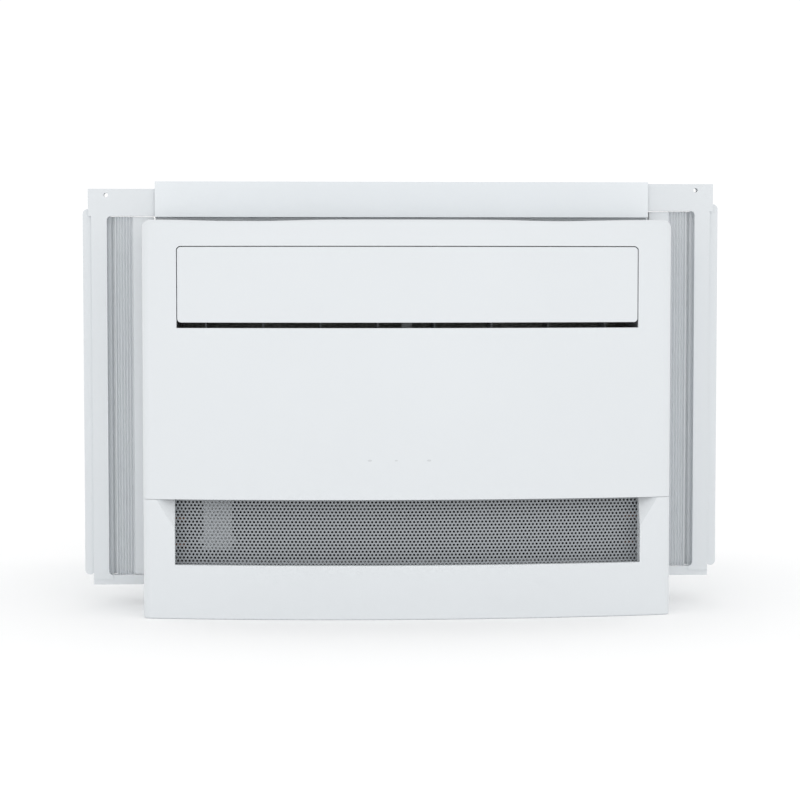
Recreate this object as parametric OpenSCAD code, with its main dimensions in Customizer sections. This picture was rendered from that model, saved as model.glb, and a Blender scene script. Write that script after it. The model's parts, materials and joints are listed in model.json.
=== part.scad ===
// Window air conditioner with a bowed two-piece front cover, a motorised outlet flap,
// a perforated intake grille and accordion side curtains that slide in a top and a bottom rail.
// +Z is up, the room side faces -Y. The origin is the centre of the footprint, on the floor.
// Each module is drawn from the sash plane, which is the front face of the curtain frames (y = 0
// in the modules), and at_sash() moves it to its place.

/* [Front cover] */
// Width of the front cover
cover_w = 486; // [400:2:590]
// Height of the front cover
cover_h = 366; // [340:1:440]
// Depth of the front cover ahead of the sash plane, at the middle of its bow
cover_d = 126; // [105:1:152]
// How far the front bows out between its sides
cover_bow = 22; // [12:1:26]
// Wall of the moulded cover
cover_wall = 2.5; // [2:0.1:3]
// Radius of the vertical front corners
cover_corner_r = 8; // [5:1:12]
// Height of the parting line between the upper panel and the lower cover
parting_z = 110; // [100:1:132]
// Gap between the cover's side wall and the cabinet
cover_gap = 2.5; // [1.5:0.5:4]
// Gap between the cover's top wall and the cabinet
cover_top_gap = 5.5; // [4:0.5:8]

/* [Air outlet and flap] */
// Side margin from the cover's edge to the outlet
outlet_side = 31.5; // [29:0.5:60]
// Margin from the cover's top to the outlet
outlet_top = 25; // [21:1:40]
// Height of the outlet
outlet_h = 74.5; // [60:0.5:88]
// Gap round the top and ends of the flap
flap_gap = 1; // [0.8:0.1:2]
// Gap under the flap, which lets its lower edge swing in
flap_slot = 5; // [4:0.5:6]
// Height of the flap's pivot above its lower edge
flap_pivot_up = 17; // [15:0.5:20]
// Depth of the flap's pivot behind the middle of the bow
flap_pivot_in = 24; // [23:0.5:27]
// Radius of the flap's pivot pins
flap_pin_r = 2.5; // [2:0.1:3]
// Thickness of the flap
flap_t = 2.5; // [2:0.1:3]
// Thickness of a vane
vane_t = 1.8; // [1.4:0.1:2.4]

/* [Air intake] */
// Side margin from the cover's edge to the intake recess
intake_side = 29; // [24:1:60]
// Height of the ledge under the intake grille
intake_z = 48.5; // [40:0.5:60]
// Depth of the intake recess
recess_d = 18; // [12:1:22]
// Width of the finger scoop at each end of the recess
scoop_w = 17; // [10:1:20]
// Height of the finger scoop
scoop_h = 27; // [20:1:45]
// Thickness of the perforated sheet
grille_t = 1; // [0.8:0.1:1.5]

/* [Cabinet and base pan] */
// Depth of the unit behind the sash plane
body_d = 396; // [340:1:480]
// Thickness of the cabinet and pan sheet
sheet_t = 1.2; // [1:0.1:1.5]
// Height of the raised pan floor that bridges the window sill
sill_step = 36; // [36:1:44]

/* [Curtains and rails] */
// Closed width of the pleats
pleat_w = 24.7; // [20:0.1:40]
// Width of a curtain frame's upright post
post_w = 14.8; // [12:0.1:20]
// Reach of the thin lip outside the post
lip_w = 8.3; // [6:0.1:12]
// Reach of the fixed strip beside the cabinet
strip_w = 19; // [15:0.5:24]
// Thickness of a curtain frame
curtain_t = 12; // [11:1:14]
// Height of the left curtain frame's foot
left_foot_z = 18; // [18:0.5:20]
// How much higher the right curtain frame sits, within the slack of the rails
right_lift = 5.5; // [0:0.5:6]
// Height of the left curtain frame's top above the cabinet
arm_above = 38.5; // [34:0.5:40]
// Height of the top rail's front flange above the cabinet
rail_flange_h = 45.5; // [40:0.5:54]
// How far each curtain slides out
curtain_travel = 162; // [100:1:165]

/* [Fan section] */
// Side offset of the fan axis
fan_x = -45; // [-60:1:-40]
// Radius of the motor shaft
shaft_r = 4; // [3:0.5:5]
// Radius of the compressor shell
comp_r = 58; // [45:1:60]

/* [Hidden] */
$fn = 64;
fit = 0.3;                                   // room between two parts that only sit side by side
pin_play = 0.06;                             // radial clearance of a running pin
vane_count = 8;

// Plan of the front: an arc through the middle of the bow, with its centre behind the unit
bow_r = (pow(cover_w / 2, 2) + pow(cover_bow, 2)) / (2 * cover_bow);
bow_cy = -cover_d + bow_r;
function front_y(x) = bow_cy - sqrt(pow(bow_r, 2) - pow(x, 2));
cover_back = -4;                             // back edge of the cover, just ahead of the top rail
sash_y = (cover_d - body_d) / 2;             // puts the origin at the centre of the footprint

cabinet_w = cover_w - 2 * (cover_wall + cover_gap);
cabinet_h = cover_h - cover_wall - cover_top_gap;
inside_w = cabinet_w / 2 - sheet_t - fit;    // half the room inside the cabinet

outlet_w = cover_w - 2 * outlet_side;
outlet_z = cover_h - outlet_top - outlet_h;
flap_w = outlet_w - 2 * flap_gap;
flap_z = outlet_z + flap_slot;
flap_top = outlet_z + outlet_h - flap_gap;
flap_pivot_y = -cover_d + flap_pivot_in;
flap_pivot_z = flap_z + flap_pivot_up;
flap_swing = norm([flap_pivot_in, flap_pivot_up]);

duct_wall = 2.5;
duct_half = outlet_w / 2 + 1;                // half the inside width of the duct
duct_floor = flap_pivot_z - flap_swing - 3.5;
duct_top = outlet_z + outlet_h + 2.5;

vane_front = flap_pivot_y + flap_swing + 1.6;
vane_pivot_y = vane_front + 11;
vane_pin_y = vane_pivot_y + 24;              // the link's pins, behind the pivots
vane_back = vane_pivot_y + 31;
vane_low = duct_floor + 5;
vane_high = duct_top - 3;
vane_step = 2 * duct_half / vane_count;
vane_pivot_r = 2;
vane_pin_r = 1.5;
link_z = (vane_low + vane_high) / 2;
link_h = 4;
duct_back = vane_back + 1;

intake_w = cover_w - 2 * intake_side;
grille_top = parting_z + 16;
grille_low = intake_z - 6;
grille_half = intake_w / 2 + 8;

filter_y = front_y(grille_half) + recess_d + grille_t + 4;
filter_t = 5;
filter_low = parting_z + 2;
filter_high = duct_floor - 8;
filter_half = intake_w / 2 - 14;

cabinet_front = -16;
pan_front = filter_y + 1.5;
pan_lip = sill_step + 24;
pan_rear_h = 40;
pan_back = body_d - sheet_t;
step_y = curtain_t + 12;                     // where the raised floor drops to the rear floor
drain = [-inside_w + 40, body_d - 96, 0];
drain_r = 8;

right_foot_z = left_foot_z + right_lift;
curtain_h = cabinet_h + arm_above - left_foot_z;
strip_out = cabinet_w / 2 + strip_w;         // outer edge of the fixed side strips
post_in = strip_out + pleat_w;
post_out = post_in + post_w;
lip_out = post_out + lip_w;
arm_h = 26;                                  // top arm of a curtain frame
foot_h = 9;                                  // bottom arm
arm_t = curtain_t - 2;
arm_inner = 20;                              // inner end of the arms when the curtain is closed
screw_r = 2.1;                               // screw hole at the end of the top arm
screw_x = post_out - 14;
channel_play = 0.6;
rail_t = 1.5;
rail_w = cabinet_w - 4;
rail_screw_y = curtain_t + 14;
screw_xs = [-rail_w / 3, 0, rail_w / 3];
strip_screw_zs = [for (i = [0 : 2]) 90 + i * (cabinet_h - 138) / 2];

evap_y = filter_y + filter_t + 6.5;
evap_t = 30;
evap_low = sill_step + 14;
evap_high = duct_floor - 6;
evap_half = cabinet_w / 2 - 33;
tube_r = 4.8;
evap_rows = 8;
evap_pitch = (evap_high - evap_low) / evap_rows;

slinger_r = (cabinet_h - 66) / 2;            // outer radius of the condenser fan's ring
fan_z = slinger_r + 12;
blower_r = fan_z - 66;
scroll_front = duct_back + 0.5;
scroll_back = scroll_front + 81.5;
blower_y = scroll_front + 9.5;
blower_w = 62;
bulkhead_y = scroll_back + 4;
motor_y = bulkhead_y + 42;
motor_l = 90;
motor_r = 55;
condenser_y = body_d - 50;
condenser_t = 34;
shroud_y = condenser_y - 19;
fan_w = 40;
fan_y = shroud_y - fan_w - 5;
cond_half = cabinet_w / 2 - 35;
cond_rows = 12;
cond_low = 6;
cond_pitch = (cabinet_h - 20) / cond_rows;
cond_mid = condenser_y + condenser_t / 2;

comp_x = inside_w - comp_r - 16;
comp_y = bulkhead_y + comp_r + 19;
comp_low = 22;
comp_top = cabinet_h - 137;
comp_bolt_r = 52;                            // radius of the bolt circle under the compressor
accumulator = [comp_x + 8, comp_y + comp_r + 30, 60];
accumulator_h = comp_top - 101;
pipe_x = inside_w - 10.5;                    // pipe run beside the compressor
box_low = comp_top + 64;                     // underside of the control box
gland = [cover_w / 2, -32, 72];
gland_r = 8;
cord_r = 4.2;

module at_sash() translate([0, sash_y, 0]) children();

// A block between two corners
module block(lo, hi) translate(lo) cube([hi[0] - lo[0], hi[1] - lo[1], hi[2] - lo[2]]);

// A cylinder along X or along Y, from a start point
module rod_x(p, l, r) translate(p) rotate([0, 90, 0]) cylinder(h = l, r = r);
module rod_y(p, l, r) translate(p) rotate([-90, 0, 0]) cylinder(h = l, r = r);

// Everything behind the bowed front, moved in by d, up to half width w and back to y
module behind_bow(d, w, y) {
    intersection() {
        translate([0, bow_cy]) circle(r = bow_r - d, $fn = 360);
        translate([-w, -cover_d - 10]) square([2 * w, y + cover_d + 10]);
    }
}

// Plan of the cover moved in by d: bowed front, rounded corners and straight sides
module cover_plan(d, y) {
    r = cover_corner_r - d;
    big = bow_r - d;
    side = cover_w / 2 - d;
    touch = (side - r) * big / (big - r);
    corner_y = bow_cy - sqrt(pow(big - r, 2) - pow(side - r, 2));
    behind_bow(d, touch, y);
    for (s = [-1, 1]) translate([s * (side - r), corner_y]) circle(r = r);
    translate([-side, corner_y]) square([2 * side, y - corner_y]);
}

module slab(z0, z1) translate([0, 0, z0]) linear_extrude(z1 - z0) children();

// Bowed sheet of thickness t whose outside lies d behind the front
module bowed_sheet(d, t, half, z0, z1) {
    slab(z0, z1) difference() {
        behind_bow(d, half, 0);
        behind_bow(d + t, half + 5, 5);
    }
}

// A rounded rectangle seen from the front, run through from the front to y = 0
module front_window(w, z0, z1, r) {
    rotate([90, 0, 0]) linear_extrude(cover_d + 20) union() {
        translate([-w / 2 + r, z0]) square([w - 2 * r, z1 - z0]);
        translate([-w / 2, z0 + r]) square([w, z1 - z0 - 2 * r]);
        for (x = [-w / 2 + r, w / 2 - r], z = [z0 + r, z1 - r]) translate([x, z]) circle(r = r);
    }
}

// A tube along straight legs, with ball corners a hair fatter than the legs
module tube(points, r) {
    for (i = [0 : len(points) - 2]) {
        v = points[i + 1] - points[i];
        l = norm(v);
        translate(points[i]) rotate([0, acos(v[2] / l), atan2(v[1], v[0])])
            cylinder(h = l, r = r, $fn = 24);
    }
    for (i = [1 : 1 : len(points) - 2]) translate(points[i]) sphere(r = r + 0.05, $fn = 24);
}

module front_panel() {
    color("white") difference() {
        slab(parting_z, cover_h) cover_plan(0, cover_back);
        slab(parting_z - 1, cover_h - cover_wall) cover_plan(cover_wall, 5);
        front_window(outlet_w, outlet_z, outlet_z + outlet_h, 4);
    }
}

module lower_cover() {
    half = intake_w / 2;
    top = parting_z - fit;
    color("white") difference() {
        union() {
            difference() {
                slab(0, top) cover_plan(0, cover_back);
                slab(-1, parting_z + 1) cover_plan(cover_wall, 5);
            }
            // liner that forms the ledge and the ends of the recess
            slab(intake_z - cover_wall, top) intersection() {
                cover_plan(0, 0);
                difference() {
                    behind_bow(0, half + scoop_w + cover_wall, 0);
                    behind_bow(recess_d, cover_w, 5);
                }
            }
        }
        slab(intake_z, parting_z + 1) behind_bow(-5, half, 5);
        for (s = [-1, 1]) scoop(s * half, s * scoop_w);
        rod_x([gland[0] - 5, gland[1], gland[2]], 10, gland_r);
    }
}

// Three-sided finger scoop at the top corner of the recess
module scoop(x, w) {
    y0 = front_y(x) - 2;
    y1 = front_y(x) + 0.6 * recess_d;
    z0 = parting_z - scoop_h;
    z1 = parting_z + 1;
    corners = [[x, y0, z0], [x, y0, z1], [x, y1, z1], [x + w, y0, z1]];
    faces = w > 0 ? [[0, 2, 1], [0, 1, 3], [0, 3, 2], [1, 2, 3]]
                  : [[0, 1, 2], [0, 3, 1], [0, 2, 3], [1, 3, 2]];
    polyhedron(points = corners, faces = faces);
}

module outlet_flap() {
    half = flap_w / 2;
    color("white") union() {
        intersection() {
            bowed_sheet(0, flap_t, half + 5, flap_z - 1, flap_top + 1);
            front_window(flap_w, flap_z, flap_top, 4);
        }
        for (x = [6 - half, -9, 9, half - 6]) flap_lug(x, 2.5);
        for (s = [-1, 1]) {
            x0 = s > 0 ? half - 7 : -half - 7;
            rod_x([x0, flap_pivot_y, flap_pivot_z], 14, flap_pin_r);
        }
        rod_x([-9, flap_pivot_y, flap_pivot_z], 18, flap_pin_r);
    }
}

// A lug from the inside of the flap back to the pivot line
module flap_lug(x, t) {
    inside = front_y(x) + flap_t / 2;
    translate([x - t / 2, 0, 0]) {
        block([0, inside, flap_pivot_z - 3.5], [t, flap_pivot_y, flap_pivot_z + 3.5]);
        rod_x([0, flap_pivot_y, flap_pivot_z], t, 4);
    }
}

// Stepper motor with an offset gearbox that holds the flap's left pin
module flap_motor() {
    x = -duct_half - duct_wall - 0.5;
    body_y = flap_pivot_y + 15;
    color("dimgray") difference() {
        union() {
            rod_x([x - 18, body_y, flap_pivot_z], 18, 12);
            block([x - 4, flap_pivot_y - 2.8, flap_pivot_z - 3.6], [x, body_y, flap_pivot_z + 3.6]);
            block([x - 1.5, body_y - 4, flap_pivot_z - 17], [x, body_y + 4, flap_pivot_z + 17]);
        }
        rod_x([x - 2.5, flap_pivot_y, flap_pivot_z], 4, flap_pin_r + pin_play);
    }
}

module outlet_duct() {
    out = duct_half + duct_wall;
    leg_y = flap_pivot_y + 24;
    color("gainsboro") difference() {
        intersection() {
            union() {
                difference() {
                    block([-out, -cover_d, duct_floor - duct_wall], [out, duct_back, duct_top + duct_wall]);
                    block([-duct_half, -cover_d - 1, duct_floor], [duct_half, duct_back + 1, duct_top]);
                }
                // middle bearing of the long flap, held from behind, and the rib under it
                block([-4.5, flap_pivot_y, flap_pivot_z - 5], [4.5, leg_y + 5, flap_pivot_z + 5]);
                rod_x([-4.5, flap_pivot_y, flap_pivot_z], 9, 5);
                block([-4.5, leg_y, duct_floor - 1], [4.5, leg_y + 5, flap_pivot_z]);
                block([-4.5, -cover_d, duct_floor - 1], [4.5, leg_y, duct_floor + 2]);
            }
            slab(duct_floor - 10, duct_top + 10) behind_bow(cover_wall + fit, cover_w, 0);
        }
        rod_x([-out - 5, flap_pivot_y, flap_pivot_z], 2 * out + 10, flap_pin_r + pin_play);
        for (i = [0 : vane_count - 1]) translate([vane_x(i), vane_pivot_y, duct_floor - 10])
            cylinder(h = duct_top - duct_floor + 20, r = vane_pivot_r + pin_play);
    }
}

function vane_x(i) = (i - (vane_count - 1) / 2) * vane_step;

// Upright vane with pivots at its ends and a notch that holds the link's pin
module vane(i) {
    pivot_low = duct_floor - duct_wall;
    color("silver") translate([vane_x(i), 0, 0]) union() {
        difference() {
            block([-vane_t / 2, vane_front, vane_low], [vane_t / 2, vane_back, vane_high]);
            block([-5, vane_pin_y - 6, link_z - 1], [5, vane_back + 1, link_z + link_h + 3]);
        }
        translate([0, vane_pivot_y, pivot_low]) cylinder(h = vane_low + 1 - pivot_low, r = vane_pivot_r);
        translate([0, vane_pivot_y, vane_high - 1])
            cylinder(h = duct_top + duct_wall + 3 - vane_high, r = vane_pivot_r);
        translate([0, vane_pin_y, link_z - 3]) cylinder(h = link_h + 4, r = vane_pin_r);
        translate([0, vane_pin_y, link_z - 3]) cylinder(h = 2.5, r = vane_pin_r + 0.9);
    }
}

module vane_link() {
    reach = vane_x(vane_count - 1) + 5;
    color("dimgray") difference() {
        block([-reach, vane_pin_y - 3, link_z], [reach, vane_pin_y + 3, link_z + link_h]);
        for (i = [0 : vane_count - 1]) translate([vane_x(i), vane_pin_y, link_z - 1])
            cylinder(h = link_h + 2, r = vane_pin_r + pin_play);
    }
}

// Stepper motor on top of the duct that turns the first vane
module vane_motor() {
    z = duct_top + duct_wall + 0.2;
    color("dimgray") difference() {
        translate([vane_x(0), vane_pivot_y + 7, z]) union() {
            cylinder(h = 7, r = 12);
            block([-16, -3.5, 0], [16, 3.5, 1.5]);
        }
        translate([vane_x(0), vane_pivot_y, z - 1]) cylinder(h = 4, r = vane_pivot_r + pin_play);
    }
}

module intake_grille() {
    color("darkgray") bowed_sheet(recess_d + 0.1, grille_t, grille_half, grille_low, grille_top);
}

module filter_frame() {
    rim = 5;
    cell_w = (2 * filter_half - 5 * rim) / 4;
    cell_h = (filter_high - filter_low - 3 * rim) / 2;
    color("lightsteelblue") union() {
        difference() {
            block([-filter_half, filter_y, filter_low], [filter_half, filter_y + filter_t, filter_high]);
            for (i = [0 : 3], j = [0 : 1]) {
                x = i * (cell_w + rim) + rim - filter_half;
                z = j * (cell_h + rim) + rim + filter_low;
                translate([x, filter_y - 1, z]) cube([cell_w, filter_t + 2, cell_h]);
            }
            block([2 - filter_half, filter_y + 1.8, filter_low + 2],
                  [filter_half - 2, filter_y + 3.2, filter_high - 2]);
        }
        // half-round pull tab that shows behind the top of the grille
        intersection() {
            rod_y([0, filter_y, filter_low + 4], 1.8, 15);
            block([-20, filter_y - 1, filter_low - 20], [20, filter_y + filter_t, filter_low + 4]);
        }
    }
}

module filter_mesh() {
    edge = 2.2;
    color("slategray") block([-filter_half + edge, filter_y + 2, filter_low + edge],
                             [filter_half - edge, filter_y + 3, filter_high - edge]);
}

// Touch controller behind the panel, with three sensing pads
module touch_board() {
    y = -cover_d + cover_wall;
    z = parting_z + 36;
    color("darkgreen") union() {
        block([-48, y + 3, z - 14], [48, y + 4.6, z + 14]);
        for (x = [-35, 0, 22]) rod_y([x, y + 0.8, z], 2.5, 4);
    }
}

// Air temperature sensor in its pale holder, close behind the grille in front of the coil
module room_sensor() {
    x0 = -filter_half + 12;
    front = front_y(x0) + recess_d + grille_t + 2;
    color("lightgray") union() {
        block([x0, front, sill_step + 26], [x0 + 26, filter_y - 1.2, filter_low - 0.5]);
        block([x0 + 10, filter_y - 2, filter_low - 8], [x0 + 16, evap_y - fit, filter_low - 4]);
        rod_x([x0 - 4, front + 3, sill_step + 34], 34, 3);
    }
}

module base_pan() {
    w = inside_w;
    t = sheet_t;
    color("silver") difference() {
        union() {
            block([-w, pan_front, sill_step], [w, step_y + t, sill_step + t]);
            block([-w, step_y, 0], [w, step_y + t, sill_step + t]);
            block([-w, step_y, 0], [w, pan_back, t]);
            block([-w, pan_front, sill_step], [w, pan_front + t, sill_step + 14]);
            block([-w, pan_back - t, 0], [w, pan_back, 30]);
            for (s = [-1, 1]) {
                x = s > 0 ? w - t : -w;
                block([x, pan_front, sill_step], [x + t, step_y + t, pan_lip]);
                block([x, step_y, 0], [x + t, pan_back, pan_rear_h]);
            }
        }
        translate(drain) translate([0, 0, -1]) cylinder(h = 5, r = drain_r);
        comp_bolts_at() translate([0, 0, -1]) cylinder(h = 5, r = 3);
    }
}

// The four bolt places under the compressor
module comp_bolts_at() {
    for (a = [45 : 90 : 315])
        translate([comp_x + comp_bolt_r * cos(a), comp_y + comp_bolt_r * sin(a), 0]) children();
}

module cabinet() {
    w = cabinet_w / 2;
    t = sheet_t;
    slots = 12;
    pitch = (body_d - 204) / slots;
    slot_h = (cabinet_h - 198) / 2;
    color("whitesmoke") difference() {
        block([-w, cabinet_front, 6], [w, body_d, cabinet_h]);
        block([-w + t, cabinet_front - 1, 0], [w - t, body_d + 1, cabinet_h - t]);
        block([-w - 1, cabinet_front - 1, 0], [w + 1, step_y, sill_step + 1]);
        for (row = [0, 1], i = [0 : slots - 1])
            translate([-w - 1, 150 + i * pitch, 110 + row * (slot_h + 30)]) cube([2 * w + 2, 5, slot_h]);
        for (row = [-1, 1], i = [0 : slots - 1])
            translate([row * w * 0.46 - 70, 150 + i * pitch, cabinet_h - 5]) cube([140, 5, 10]);
        for (x = screw_xs) translate([x, rail_screw_y, cabinet_h - 5]) cylinder(h = 10, r = 2);
    }
}

module rear_guard() {
    n = 38;
    step = 2 * (inside_w - 10) / n;
    y = condenser_y + condenser_t + 5;
    slot_h = (cabinet_h - pan_rear_h - 54) / 3;
    color("whitesmoke") difference() {
        block([-inside_w, y, pan_rear_h], [inside_w, y + 1.2, cabinet_h - sheet_t - fit]);
        for (i = [0 : n - 1], j = [0 : 2])
            translate([(i + 0.5) * step + 6 - inside_w, y - 1, pan_rear_h + 12 + j * (slot_h + 10)])
                cube([8, 5, slot_h]);
    }
}

module top_rail() {
    w = rail_w / 2;
    z = cabinet_h;
    color("white") difference() {
        union() {
            block([-w, -3, z], [w, rail_screw_y + 10, z + rail_t]);
            block([-w, -3, z], [w, -3 + rail_t, z + rail_flange_h]);
            block([-w, curtain_t + 1, z], [w, curtain_t + 1 + rail_t, z + 27]);
        }
        for (x = screw_xs) translate([x, rail_screw_y, z - 1]) cylinder(h = 5, r = 2.2);
    }
}

module bottom_rail() {
    w = rail_w / 2;
    y0 = 1 - channel_play;
    y1 = arm_t + 1 + channel_play;
    z0 = left_foot_z - 2;
    color("silver") union() {
        block([-w, y0 - rail_t, z0], [w, y1 + rail_t, z0 + rail_t]);
        block([-w, y0 - rail_t, z0], [w, y0, sill_step]);
        block([-w, y1, z0], [w, y1 + rail_t, sill_step]);
        block([-w, y1, sill_step - rail_t], [w, step_y - fit, sill_step]);
    }
}

// Frame of the right curtain, with its foot at z
module curtain_frame(z) {
    top = z + curtain_h;
    fillet = 4;
    lip_r = lip_w - 3.6;
    color("white") difference() {
        union() {
            block([post_in, 0, z + 5], [post_out, curtain_t, top]);
            block([arm_inner, 0, top - arm_h], [post_out + 3, 1 + arm_t, top]);
            block([arm_inner, 1, z], [post_out, 1 + arm_t, z + foot_h]);
            block([post_out - 1, 4, z + 14], [lip_out, 8, top - 24]);
            for (h = [z + 14, top - 24]) rod_y([lip_out - lip_r, 4, h], 4, lip_r);
            block([post_in - fillet, 0, top - arm_h - fillet],
                  [post_in + 1, curtain_t, top - arm_h + 1]);
            block([post_in - fillet, 0, z + 5], [post_in + 1, curtain_t, z + foot_h + fillet]);
        }
        for (h = [z + foot_h + fillet, top - arm_h - fillet])
            rod_y([post_in - fillet, -1, h], curtain_t + 2, fillet);
        rod_y([screw_x, -1, top - 6], curtain_t + 2, screw_r);
        // the top arm is an open channel behind its front wall
        block([arm_inner - 1, 3, top - arm_h + 2], [post_in - 8, arm_t + 2, top - 2]);
    }
}

// Folded accordion sheet of the right curtain
module pleats(z) {
    color("gainsboro") block([strip_out + fit, 3, z + foot_h + 0.5],
                             [post_in - 4 - fit, 9, z + curtain_h - arm_h - 0.5]);
}

module side_strip(z) {
    w = cabinet_w / 2;
    low = z + foot_h + 1;
    high = z + curtain_h - arm_h - 0.8;
    color("gainsboro") difference() {
        union() {
            block([w, 3, low], [strip_out, 7, high]);
            block([w, 3, low], [w + 1.5, rail_screw_y + 8, high]);
            block([strip_out - 2, 3, low], [strip_out, 11, high]);
        }
        for (h = strip_screw_zs) rod_x([w - 5, rail_screw_y, h], 12, 2.2);
    }
}

// A finned block with bores for its tubes, and grooves between the fins on one face
module fin_block(half, y, t, low, pitch, rows, groove_y) {
    high = low + rows * pitch;
    difference() {
        block([-half, y, low], [half, y + t, high]);
        for (i = [0 : rows - 1])
            rod_x([-half - 1, y + t / 2, low + (i + 0.5) * pitch], 2 * half + 2, tube_r);
        for (x = [-half + 6 : 6 : half - 6]) block([x, groove_y, low - 1], [x + 3.4, groove_y + 5, high + 1]);
    }
}

// Straight tubes with slightly fatter return bends brazed on; both open ends are on the right
module coil(half, y, low, pitch, rows) {
    reach = half + 8;
    for (i = [0 : rows - 1]) rod_x([-reach - 1, y, low + (i + 0.5) * pitch], 2 * reach + 2, tube_r);
    for (i = [0 : rows - 2]) {
        s = i % 2 == 0 ? -1 : 1;
        translate([s * reach, y, low + (i + 1) * pitch]) rotate([90, 0, 0]) rotate([0, 0, -s * 90])
            rotate_extrude(angle = 180) translate([pitch / 2, 0]) circle(r = tube_r + 0.6, $fn = 24);
    }
}

module evaporator_fins() {
    color("lightgray") fin_block(evap_half, evap_y, evap_t, evap_low, evap_pitch, evap_rows, evap_y - 1);
}

module evaporator_tubes() {
    color("peru") coil(evap_half, evap_y + evap_t / 2, evap_low, evap_pitch, evap_rows);
}

module drip_tray() {
    z = sill_step + sheet_t;
    front = pan_front + sheet_t + fit;
    back = evap_y + evap_t + 8;
    half = inside_w - 8;
    color("white") difference() {
        block([-half, front, z + 0.2], [half, back, z + 12]);
        block([-half + 4, front + 3, z + 4], [half - 4, back - 4, z + 20]);
    }
}

// Spiral of the blower housing, growing with the turn from the cut-off
function scroll_r(a) = blower_r + 8 + 26 * a / 330;
function scroll_points(extra) =
    [for (a = [0 : 10 : 330]) (scroll_r(a) + extra) * [cos(a - 10), -sin(a - 10)]];

module blower_scroll() {
    out = duct_half + duct_wall;
    wall = 3;
    neck = [fan_x + 20, fan_x + blower_r + 10];
    color("white") difference() {
        union() {
            translate([fan_x, scroll_back, fan_z]) rotate([90, 0, 0])
                linear_extrude(scroll_back - scroll_front) polygon(scroll_points(wall));
            block([-out, scroll_front, duct_floor - duct_wall], [out, scroll_back, duct_top + duct_wall]);
            block([neck[0], scroll_front, fan_z], [neck[1], scroll_back, duct_floor]);
        }
        translate([fan_x, scroll_back - wall, fan_z]) rotate([90, 0, 0])
            linear_extrude(scroll_back - scroll_front - 2 * wall) polygon(scroll_points(0));
        block([-duct_half, scroll_front - 1, duct_floor], [duct_half, scroll_back - wall, duct_top]);
        block([neck[0] + wall, scroll_front + wall, fan_z],
              [neck[1] - wall, scroll_back - wall, duct_floor + 5]);
        rod_y([fan_x, scroll_front - 1, fan_z], 10, blower_r - 14);
        rod_y([fan_x, scroll_back - 10, fan_z], 20, 14);
    }
}

// Sheet wall between the room side and the outdoor side
module bulkhead() {
    w = inside_w - 1.5;
    color("silver") difference() {
        block([-w, bulkhead_y, sheet_t + 0.1], [w, bulkhead_y + 1.2, cabinet_h - sheet_t - fit]);
        rod_y([fan_x, bulkhead_y - 1, fan_z], 5, 20);
        rod_y([pipe_x - 42, bulkhead_y - 1, 120], 5, 12);
        rod_y([pipe_x - 54, bulkhead_y - 1, 54], 5, 8);
    }
}

module fan_motor() {
    color("gray") difference() {
        union() {
            rod_y([fan_x, motor_y, fan_z], motor_l, motor_r);
            rod_y([fan_x, motor_y - 6, fan_z], motor_l + 12, 16);
        }
        rod_y([fan_x, motor_y - 10, fan_z], motor_l + 20, shaft_r + pin_play);
    }
}

module motor_bracket() {
    z = sheet_t;
    mid = motor_y + motor_l / 2;
    color("silver") difference() {
        union() {
            block([fan_x - 75, mid - 30, z], [fan_x + 75, mid + 30, z + 3]);
            block([fan_x - 62, mid - 10, z], [fan_x + 62, mid + 10, fan_z]);
            rod_y([fan_x, mid - 10, fan_z], 20, motor_r + 7);
        }
        rod_y([fan_x, mid - 15, fan_z], 30, motor_r);
        block([fan_x - 45, mid - 15, z + 14], [fan_x + 45, mid + 15, fan_z - motor_r - 12]);
    }
}

module motor_shaft() {
    color("lightgray") rod_y([fan_x, blower_y - 2, fan_z], fan_y + fan_w + 4 - blower_y, shaft_r);
}

module blower_wheel() {
    back = blower_y + blower_w;
    blades = 36;
    color("dimgray") difference() {
        union() {
            rod_y([fan_x, back - 2, fan_z], 2, blower_r);
            rod_y([fan_x, blower_y + 20, fan_z], blower_w - 20, 12);
            difference() {
                rod_y([fan_x, blower_y, fan_z], 3, blower_r);
                rod_y([fan_x, blower_y - 1, fan_z], 5, blower_r - 12);
            }
            for (i = [0 : blades - 1]) translate([fan_x, blower_y, fan_z]) rotate([0, i * 360 / blades, 0])
                translate([blower_r - 8, 0, 0]) rotate([0, 35, 0])
                    block([-0.6, 1, -6], [0.6, blower_w - 1, 6]);
        }
        rod_y([fan_x, blower_y - 1, fan_z], blower_w + 2, shaft_r);
    }
}

// Propeller with a slinger ring that throws water from the pan onto the condenser
module condenser_fan() {
    blades = 5;
    color("dimgray") difference() {
        union() {
            rod_y([fan_x, fan_y, fan_z], fan_w, 24);
            translate([fan_x, fan_y + fan_w - 12, fan_z]) rotate([-90, 0, 0]) rotate_extrude($fn = 96)
                translate([slinger_r - 4, 0]) square([4, 10]);
            for (a = [0 : 360 / blades : 359]) {
                translate([fan_x, fan_y + fan_w / 2, fan_z]) rotate([0, a, 0]) rotate([28, 0, 0])
                    block([20, -1.2, -30], [slinger_r - 8, 1.2, 30]);
                translate([fan_x, fan_y + fan_w - 10, fan_z]) rotate([0, a, 0])
                    block([slinger_r - 20, -1.5, -10], [slinger_r - 3, 1.5, 10]);
            }
        }
        rod_y([fan_x, fan_y - 1, fan_z], fan_w + 2, shaft_r);
    }
}

module fan_shroud() {
    w = cabinet_w / 2 - 22;
    color("white") difference() {
        block([-w, shroud_y, sheet_t + 0.2], [w, shroud_y + 3, cabinet_h - sheet_t - 2]);
        rod_y([fan_x, shroud_y - 1, fan_z], 5, slinger_r - 4);
    }
}

module condenser_fins() {
    color("lightgray")
        fin_block(cond_half, condenser_y, condenser_t, cond_low, cond_pitch, cond_rows,
                  condenser_y + condenser_t - 4);
}

module condenser_tubes() {
    color("peru") coil(cond_half, cond_mid, cond_low, cond_pitch, cond_rows);
}

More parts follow.
